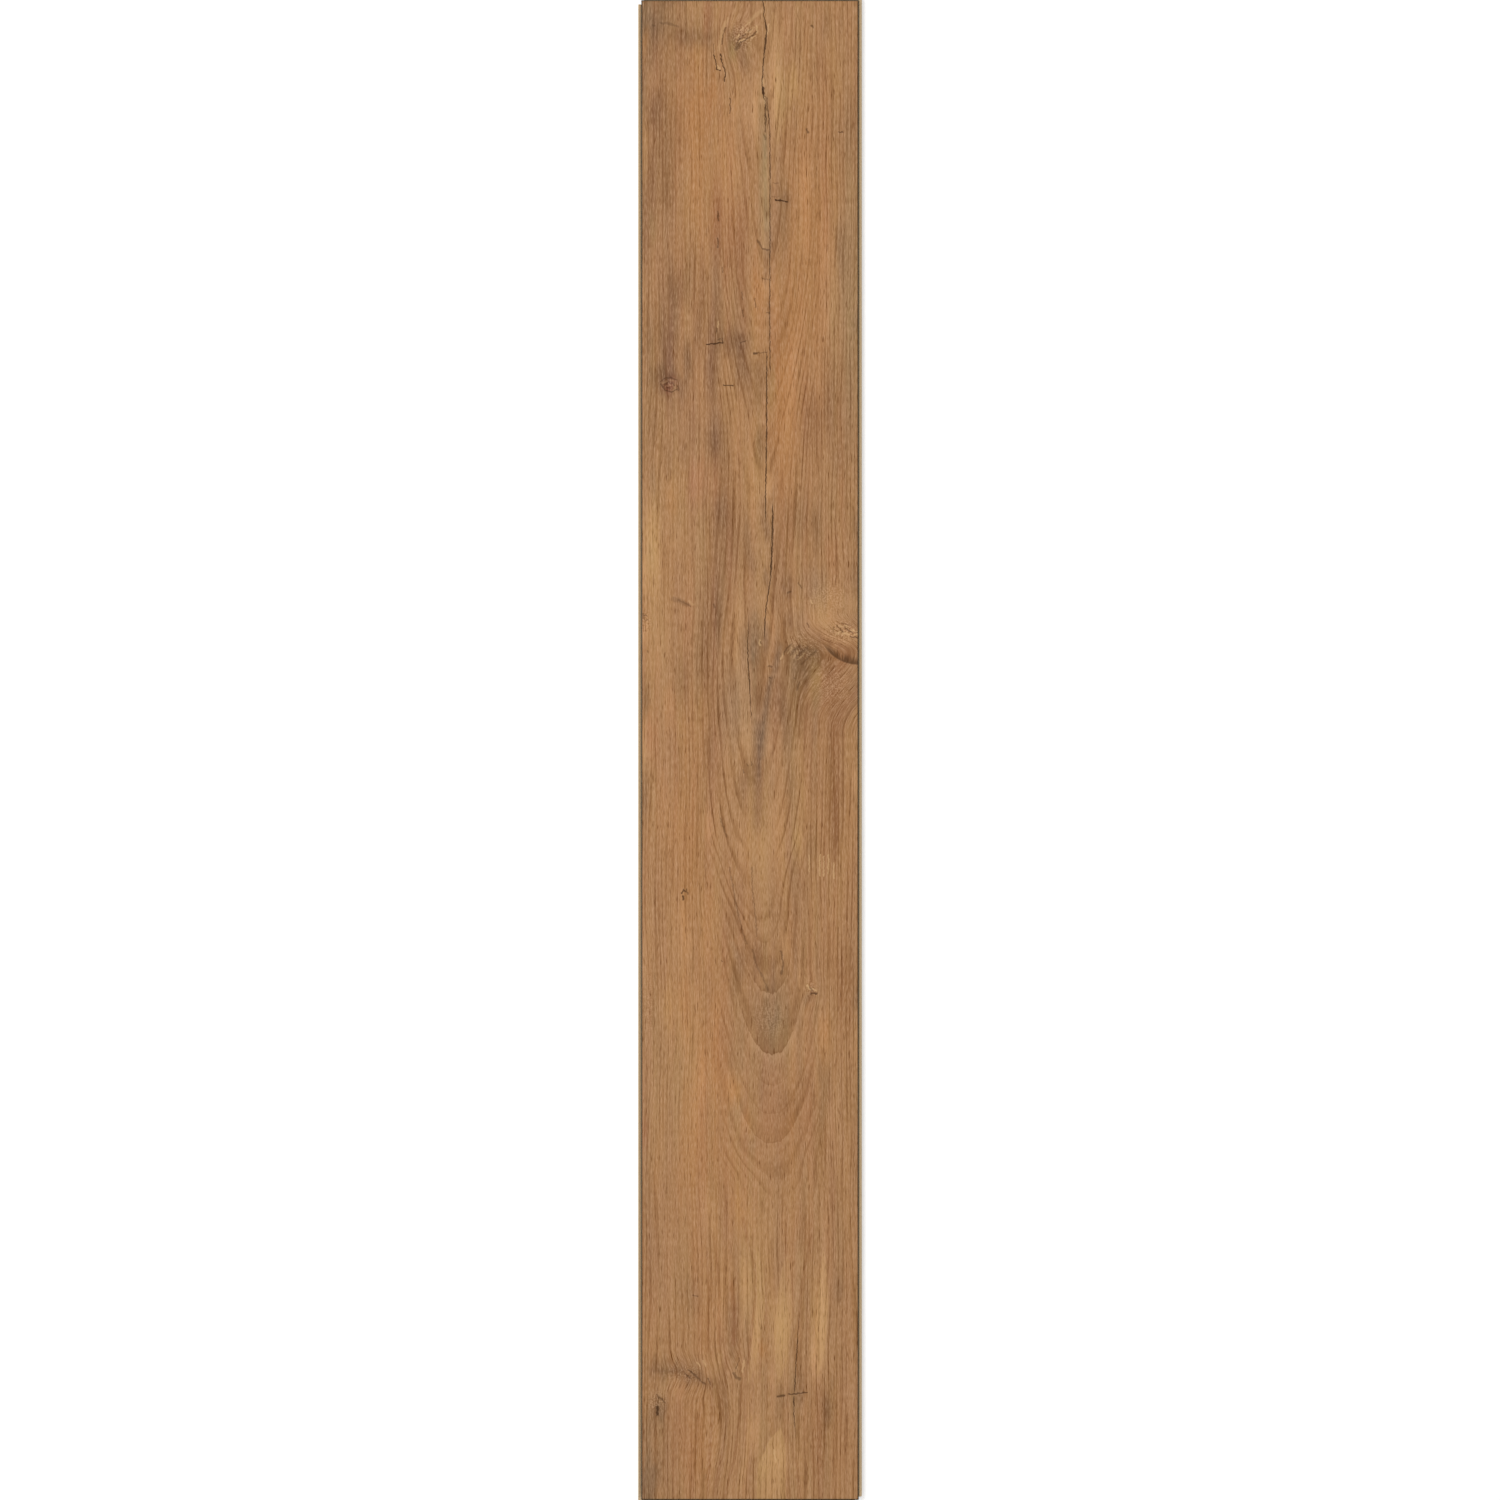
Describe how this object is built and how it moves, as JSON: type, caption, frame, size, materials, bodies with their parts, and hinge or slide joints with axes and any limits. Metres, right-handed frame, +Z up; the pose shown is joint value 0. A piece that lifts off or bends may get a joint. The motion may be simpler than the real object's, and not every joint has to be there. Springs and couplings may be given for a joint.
{
  "type": "laminate floor plank",
  "caption": "Long narrow laminate floor plank with a knotty warm-brown oak face, dark micro bevels and click joint edges: tongue opposite hooked groove on both sides and ends.",
  "frame": {"origin": "on the underside, below the middle of the face", "axes": "+Y along the plank's length towards the end tongue, +X across it towards the long tongue, +Z up out of the face"},
  "size_m": [0.206, 1.386, 0.008],
  "materials": {
    "oak_laminate": "satin oak decor under a clear wear layer, dark painted bevels, bare fibreboard edges and a plain backing paper"
  },
  "bodies": {
    "root": {"plank": "oak_laminate"}
  },
  "joints": []
}
